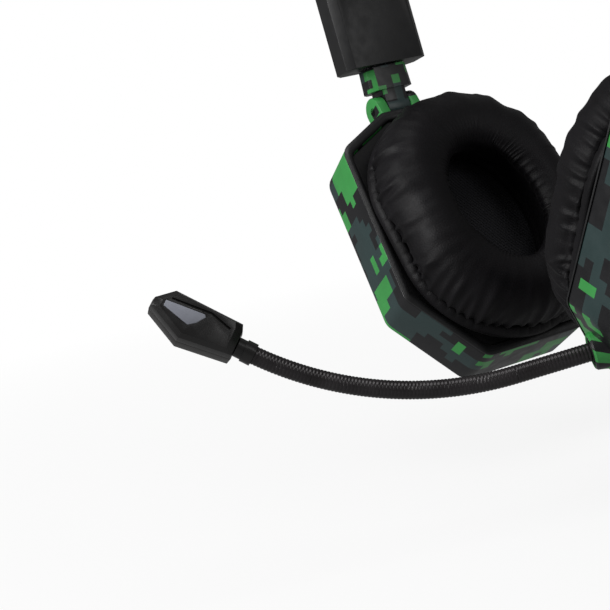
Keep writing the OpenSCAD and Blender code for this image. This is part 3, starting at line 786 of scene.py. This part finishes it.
def subdivide(piece):
    step = piece.modifiers.new("Subdivide", "SUBSURF")
    step.levels = 1
    step.render_levels = 1
    apply_modifiers(piece)


def loose_piece(name, points, faces):
    """Mesh in metres with no place yet, for simulation."""
    mesh = bpy.data.meshes.new(name)
    mesh.from_pydata([Vector(p) * MM for p in points], [], faces)
    piece = bpy.data.objects.new(name, mesh)
    bpy.context.scene.collection.objects.link(piece)
    return piece


def pucker(piece):
    """Presses the gathers into the roll: long ones at the outer seam, short ones at the inner rim."""
    mid_r, mid_x = PAD_R - PAD_ROLL / 2, 12
    normals = [v.normal.copy() for v in piece.data.vertices]
    for vertex, normal in zip(piece.data.vertices, normals):
        x, y, z = vertex.co / MM
        u, r = oval_place(y, z)
        turn = math.atan2(x - mid_x, r - mid_r)
        up = max(0.0, turn + math.radians(58)) * PAD_ROLL / 2
        depth = 0.0
        if turn > -math.radians(75):
            depth = crease_depth(u, up)
            broad = noise.noise(Vector((u * 0.13, up * 0.05, 2.2)))
            sag = broad + 0.5 * noise.noise(Vector((u * 0.31, up * 0.09, 6.1)))
            depth += 0.85 * sag * math.exp(-((up - 12) / 10) ** 2)
        if x > 1 and r < mid_r:
            rim = math.hypot(x - 17.5, r - 14.5)
            depth += 0.5 * max(0.0, crease_depth(u * 1.35, 2.0)) * math.exp(-(rim / 3.2) ** 2)
        vertex.co -= normal * depth * MM


def make_cushion_skin():
    """One cushion in the cup frame; both ears wear the same skin, mirrored."""
    count = 256
    rings = roll_rings(count)
    points, faces = loft(rings, looped=True)
    piece = loose_piece("cushion_skin", points, faces)
    n = len(rings[0])
    pinned = (0, n - 6, n - 5, n - 4, n - 3, n - 2, n - 1)
    pins = [c * n + i for c in range(count) for i in pinned]
    inflate(piece, pins, 6.0, 0.04, 1.6)
    subdivide(piece)
    pucker(piece)
    return piece


def make_cushions():
    skin = make_cushion_skin()
    points = [tuple(v.co / MM) for v in skin.data.vertices]
    faces = [tuple(p.vertices) for p in skin.data.polygons]
    bpy.data.objects.remove(skin)
    for side in SIDES:
        piece = add_piece("ear_cushion_" + side, points, faces, CUP[side], "cup_" + side, LEATHER,
                          180)
        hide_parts("cushion_" + side)


def make_skirt(side):
    """Stretched band between the cushion's seam and its plate, wavy along the seam."""
    count = 512
    profile = [(PAD_R - 6.2, 0.15), (PAD_R - 0.6, 0.1), (PAD_R - 0.1, 0.5), (PAD_R, 1.3), (PAD_R - 0.25, 2.4),
               (PAD_R - 0.9, 3.5), (PAD_R - 1.8, 4.2), (PAD_R - 2.7, 4.3), (PAD_R - 3.3, 3.8),
               (PAD_R - 3.9, 2.4), (PAD_R - 6.2, 1.9)]
    wave = (0, 0, 0.05, 0.1, 0.25, 0.4, 0.5, 0.5, 0.3, 0, 0)
    rings = []
    for u, (cy, cz), (dy, dz) in oval_columns(count):
        ripple = crease_depth(u, 1.0)
        slow = 0.25 * noise.noise(Vector((u * 0.15, 1.0, 6.0)))
        ring = []
        for (r, x), share in zip(profile, wave):
            drop = share * (0.55 * ripple + slow)
            ring.append((x - drop, cy + (r - 0.3 * drop) * dy, cz + (r - 0.3 * drop) * dz))
        rings.append(ring)
    points, faces = loft(rings, looped=True)
    piece = add_piece("cushion_band_" + side, points, faces, CUP[side], "cup_" + side, LEATHER,
                      180)
    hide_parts("cushion_skirt_" + side)


def make_cloth(side):
    """Mesh cloth stretched over the speaker, with the ring of its frame showing through."""
    count = 96
    shares = [i / 30 for i in range(1, 31)]
    rings = []
    for share in shares:
        ring = []
        for _, (cy, cz), (dy, dz) in oval_columns(count):
            y, z = share * (cy + CLOTH_R * dy), share * (cz + CLOTH_R * dz)
            d = math.hypot(y, z)
            rise = 0.55 * math.exp(-((d - 19) / 2.2) ** 2) + 0.5 * math.exp(-(d / 9) ** 2)
            ring.append((0.25 + rise * (1 - share ** 6), y, z))
        rings.append(ring)
    points, faces = loft(rings, caps=False)
    faces.append(tuple(reversed(range(count))))
    piece = add_piece("ear_mesh_" + side, points, faces, CUP[side], "cup_" + side, KNIT[side],
                      180)
    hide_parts("ear_cloth_" + side)


# ---------- head pad ----------

CHANNELS = [math.radians(a) for a in (-19.8, -6.6, 6.6, 19.8)]


def pad_section(swell):
    """Section of the head pad about its middle: up is out to the band, side is along y."""
    count = 44
    made = []
    for i in range(count):
        a = 2 * math.pi * i / count
        side = HEAD_PAD_WIDTH / 2 * power(math.cos(a), 0.75) * (0.6 + 0.4 * swell)
        up = HEAD_PAD / 2 * power(math.sin(a), 0.8)
        made.append((side, up if up > 0 else up * swell))
    return made


def make_head_pad():
    """Padded strip under the headband, sewn across in channels."""
    count = 150
    centre_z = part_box("head_pad_cushion")[1].z / MM - PAD_TOP_R
    radius = PAD_TOP_R - HEAD_PAD / 2
    rings = []
    rows = []
    for i in range(count + 1):
        turn = HEAD_PAD_SPAN * (2 * i / count - 1)
        end = max(0.0, (abs(turn) - HEAD_PAD_SPAN * 0.93) / (HEAD_PAD_SPAN * 0.07))
        swell = math.sqrt(max(0.0, 1 - end ** 2)) * 0.97 + 0.03
        near = min(abs(turn - c) for c in CHANNELS)
        pinch = 1 - 0.34 * math.exp(-(near / math.radians(1.2)) ** 2)
        ring = []
        for side, up in pad_section(swell * pinch):
            level = radius + up * (0.55 + 0.45 * swell)
            ring.append((level * math.sin(turn), side, centre_z + level * math.cos(turn)))
        rings.append(ring)
        rows.append(near < math.radians(0.5) or end > 0.3)
    points, faces = loft(rings)
    piece = loose_piece("pad_skin", points, faces)
    n = len(rings[0])
    upper = set(range(2, n // 2 - 1))
    pins = [r * n + k for r in range(count + 1) for k in range(n) if rows[r] or k in upper]
    inflate(piece, pins, 5.0, 0.03, 1.5)
    subdivide(piece)
    points = [tuple(v.co / MM) for v in piece.data.vertices]
    faces = [tuple(p.vertices) for p in piece.data.polygons]
    bpy.data.objects.remove(piece)
    pad = add_piece("head_pad", points, faces, Matrix.Scale(MM, 4), "headband", LEATHER, 180)
    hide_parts("head_pad_cushion")


# ---------- microphone boom ----------

def boom_ray(angle):
    """Direction in the boom's upright plane at this slope."""
    ahead = Vector((0, 0, 1)).cross(BEND_AXIS)
    return ahead * math.cos(angle) + Vector((0, 0, math.sin(angle)))


def boom_place(at, angle):
    """Frame on the boom: z along it, x to the side; at is in millimetres in the row frame."""
    z = boom_ray(angle)
    x = BEND_AXIS
    return columns(x, z.cross(x), z, at * MM)


BOOM_FIRST = 23
BOOM_START = KNOTS[0] - boom_ray(-BOOM_DROP) * BOOM_FIRST
PIECE_LENGTH = (KNOTS[1] - KNOTS[0]).length * (NECK_TURN / 2) / math.sin(NECK_TURN / 2)


def boom_at(s):
    """Point and slope at distance s along the boom from the cup."""
    if s <= BOOM_FIRST:
        return BOOM_START + boom_ray(-BOOM_DROP) * s, -BOOM_DROP
    along = (s - BOOM_FIRST) / PIECE_LENGTH
    i = min(3, int(along))
    slope = NECK_TURN * i - BOOM_DROP
    turn = NECK_TURN * (along - i)
    chord = 2 * PIECE_LENGTH / NECK_TURN * math.sin(turn / 2)
    return KNOTS[i] + boom_ray(slope + turn / 2) * chord, slope + turn


def rib_radius(s):
    """Radius of the ribbed neck: a round crest each pitch."""
    phase = (s / RIB_PITCH) % 1.0
    return NECK_R - RIB_DEPTH + RIB_DEPTH * abs(math.sin(math.pi * phase)) ** 0.6


def neck_tube(start, end):
    """Ribbed tube between two distances along the boom, closed at both ends."""
    per_rib = 6
    count = round((end - start) / RIB_PITCH * per_rib)
    rings = []
    for i in range(count + 1):
        s = start + (end - start) * i / count
        at, slope = boom_at(s)
        place = boom_place(at, slope)
        r = rib_radius(s)
        ring = [tuple(place @ Vector((r * math.cos(a), r * math.sin(a), 0)) / MM)
                for a in [2 * math.pi * k / 40 for k in range(40)]]
        rings.append(ring)
    return loft(rings)


def make_neck():
    """Gooseneck in five lengths, each on its own body, split at the foot of a rib."""
    whole = BOOM_FIRST + 4 * PIECE_LENGTH
    splits = [-6.0] + [round((BOOM_FIRST + i * PIECE_LENGTH) / RIB_PITCH) * RIB_PITCH for i in range(4)]
    splits.append(whole)
    bodies = ("cup_l", "boom_2", "boom_3", "boom_4", "microphone")
    for i, body in enumerate(bodies):
        part = neck_tube(splits[i] + (0.04 if i else 0), splits[i + 1] - 0.04)
        if i:
            turns = [math.pi * k / 16 for k in range(1, 16)]
            ball = [(BALL_R * math.sin(a), -BALL_R * math.cos(a)) for a in turns]
            at, slope = boom_at(splits[i])
            place = Matrix.Scale(1 / MM, 4) @ boom_place(at, slope)
            part = join(part, carried(loft(turned(ball, 24)), place))
        points, faces = part
        piece = add_piece(f"gooseneck_{i + 1}", points, faces, Matrix.Scale(MM, 4), body, NECK,
                          60)
        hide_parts(f"neck_{i + 1}")


# ---------- build ----------

for side in SIDES:
    make_shell(side)
    make_lip(side)
    make_face(side)
    make_skirt(side)
    make_cloth(side)
    bevelled("arm_" + side, 0.6, CAMO_ARM)
    bevelled("sleeve_" + side, 0.8, BLACK)
make_cushions()
make_head_pad()
make_neck()
bevelled("mic_base", 0.35, CAPSULE_BROWN)
bevelled("mic_cover", 0.3, GLOSS)
bevelled("mic_window", 0.2, WINDOW)


# ---------- studio ----------

def look_from(azimuth, elevation, roll, at, lens):
    """Camera looking back along its bearing, rolled about its own line of sight."""
    a, e, t = (math.radians(v) for v in (azimuth, elevation, roll))
    back = Vector((math.sin(a) * math.cos(e), -math.cos(a) * math.cos(e), math.sin(e)))
    level = Vector((math.cos(a), math.sin(a), 0))
    above = back.cross(level)
    right = level * math.cos(t) + above * math.sin(t)
    up = above * math.cos(t) - level * math.sin(t)
    data = bpy.data.cameras.new("camera")
    data.sensor_width = 36
    data.lens = lens
    data.clip_start, data.clip_end = 0.01, 20
    camera = bpy.data.objects.new("camera", data)
    bpy.context.scene.collection.objects.link(camera)
    camera.matrix_world = columns(right / MM, up / MM, back / MM, Vector(at) * MM)
    bpy.context.scene.camera = camera


def soft_light(name, at, towards, size, power_w):
    data = bpy.data.lights.new(name, "AREA")
    data.shape = "RECTANGLE"
    data.size, data.size_y = size
    data.energy = power_w
    lamp = bpy.data.objects.new(name, data)
    bpy.context.scene.collection.objects.link(lamp)
    lamp.location = at
    lamp.rotation_euler = (Vector(towards) - Vector(at)).to_track_quat("-Z", "Y").to_euler()


def seen_or_felt(tree, felt):
    """Strength of 1 where the backdrop is seen, and less in the light that it casts."""
    seen = add(tree, "ShaderNodeLightPath").outputs["Is Camera Ray"]
    return mapped(tree, seen, 0, 1, felt, 1.0)


def make_floor(height):
    """Pale floor that fades into the backdrop far from the object."""
    material, tree, main, place = shader("pale_floor", 0.6)
    main.inputs["Base Color"].default_value = rgb(0.9, 0.9, 0.9)
    set_bump(tree, main, noise_at(tree, place, 0.4, 2), 0.02)
    glow = add(tree, "ShaderNodeEmission", {"Color": rgb(1, 1, 1), "Strength": seen_or_felt(tree, 0.22)})
    far = mapped(tree, vectors(tree, "LENGTH", place, output="Value"), 250, 700, 0.86, 1.0)
    blend = add(tree, "ShaderNodeMixShader", {0: far})
    tree.links.new(main.outputs[0], blend.inputs[1])
    tree.links.new(glow.outputs[0], blend.inputs[2])
    tree.links.new(blend.outputs[0], tree.nodes["Material Output"].inputs["Surface"])
    mesh = bpy.data.meshes.new("floor")
    corners = [(x, y, height) for x, y in ((-12, -12), (12, -12), (12, 12), (-12, 12))]
    mesh.from_pydata(corners, [], [(0, 1, 2, 3)])
    mesh.materials.append(material)
    floor = bpy.data.objects.new("floor", mesh)
    bpy.context.scene.collection.objects.link(floor)


look_from(63.9, 7.1, -12.3, (344.6, -262.3, -95.1), 1400 / 610 * 36)


def make_backdrop(glow):
    """White seen behind the object, with only a little light of its own."""
    world = bpy.data.worlds.new("studio")
    world.use_nodes = True
    tree = world.node_tree
    tree.links.new(seen_or_felt(tree, glow), tree.nodes["Background"].inputs["Strength"])
    tree.nodes["Background"].inputs["Color"].default_value = rgb(1, 1, 1)
    bpy.context.scene.world = world


make_backdrop(0.16)
bpy.context.scene.view_settings.view_transform = "Standard"
make_floor(CAD_BOX[0].z - 0.024)
centre = (CAD_BOX[0] + CAD_BOX[1]) / 2
soft_light("overhead", (0.15, -0.1, 0.95), centre, (0.9, 0.7), 4.5)
soft_light("front", (-0.15, -0.95, 0.35), centre, (0.5, 0.8), 8)
soft_light("left", (0.95, 0.35, 0.25), centre, (0.4, 0.8), 1.6)
